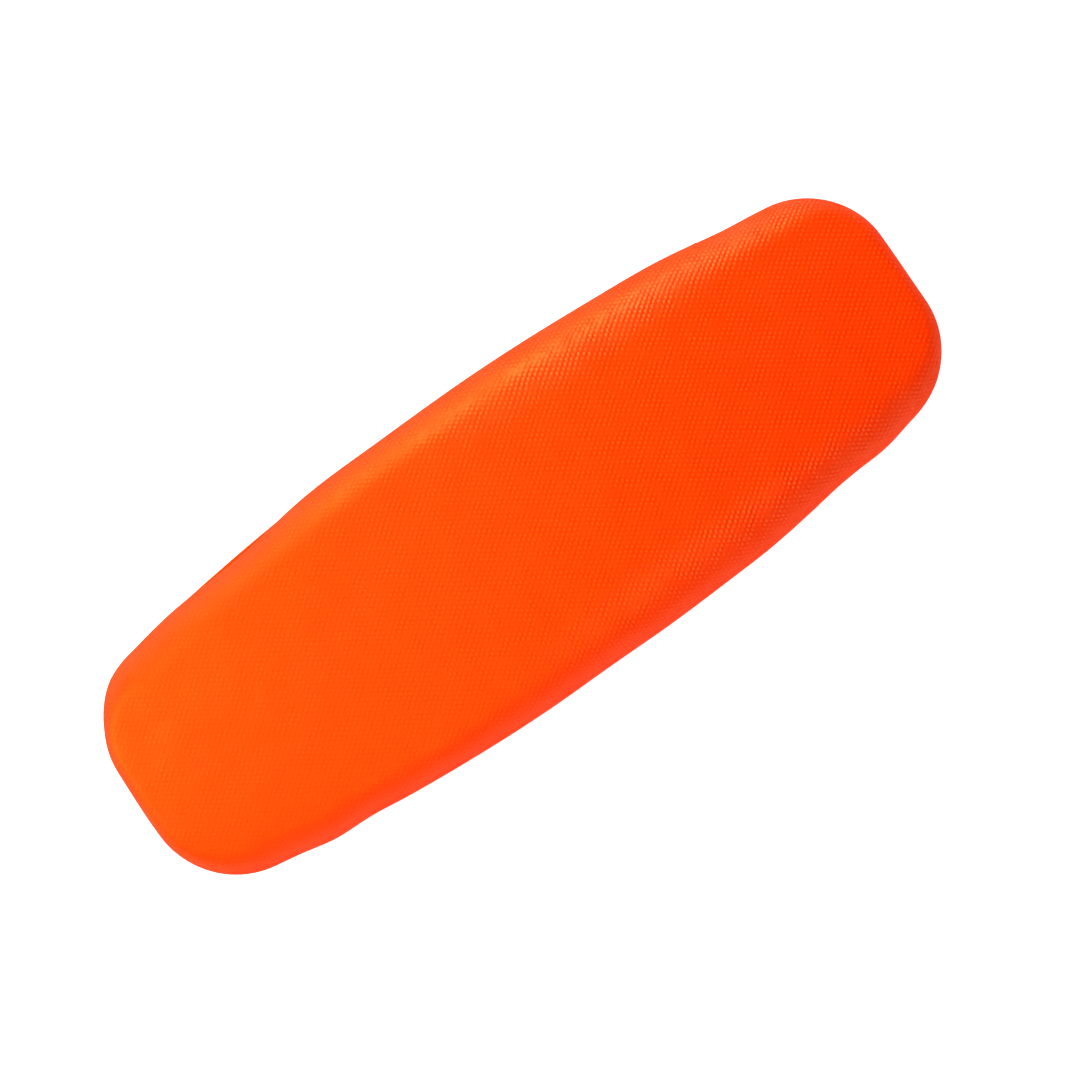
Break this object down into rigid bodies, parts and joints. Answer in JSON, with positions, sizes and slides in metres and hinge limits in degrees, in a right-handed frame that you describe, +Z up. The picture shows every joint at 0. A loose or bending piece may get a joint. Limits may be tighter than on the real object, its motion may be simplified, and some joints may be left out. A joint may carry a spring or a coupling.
{
  "type": "spectacle case",
  "caption": "Hard clamshell spectacle case: two padded, fabric-covered steel half shells with a flocked lining, joined along the back by a pin hinge with snap springs.",
  "frame": {"origin": "centre of the footprint, on the flat face of the underside that the closed case rests on", "axes": "+X along the case, +Y towards the hinge at the back, +Z up through the closed lid"},
  "size_m": [0.16, 0.0548, 0.0376],
  "materials": {
    "orange_cover": "coated basket weave, soft sheen",
    "padding_foam": "open-cell foam",
    "pressed_steel": "bare, slightly oily",
    "flocked_lining": "short flock",
    "hinge_nickel": "nickel plated",
    "spring_steel": "blued spring strip"
  },
  "bodies": {
    "base": {"base_cover": "orange_cover", "base_foam": "padding_foam", "base_shell": "pressed_steel", "base_lining": "flocked_lining", "hinge_leaf_base": "hinge_nickel", "hinge_pin": "hinge_nickel", "base_rivets": "hinge_nickel", "snap_spring_left": "spring_steel", "snap_spring_right": "spring_steel", "spine_cover": "orange_cover", "spine_lining": "flocked_lining"},
    "lid": {"lid_cover": "orange_cover", "lid_foam": "padding_foam", "lid_shell": "pressed_steel", "lid_lining": "flocked_lining", "hinge_leaf_lid": "hinge_nickel", "lid_rivets": "hinge_nickel"}
  },
  "joints": [
    {"name": "lid_hinge", "type": "hinge", "parent": "base", "child": "lid", "pos_m": [0, 0.0242, 0.0186], "axis": [-1, 0, 0], "range_deg": [0, 105], "deforming": ["snap_spring_left", "snap_spring_right", "spine_cover", "spine_lining"]}
  ]
}
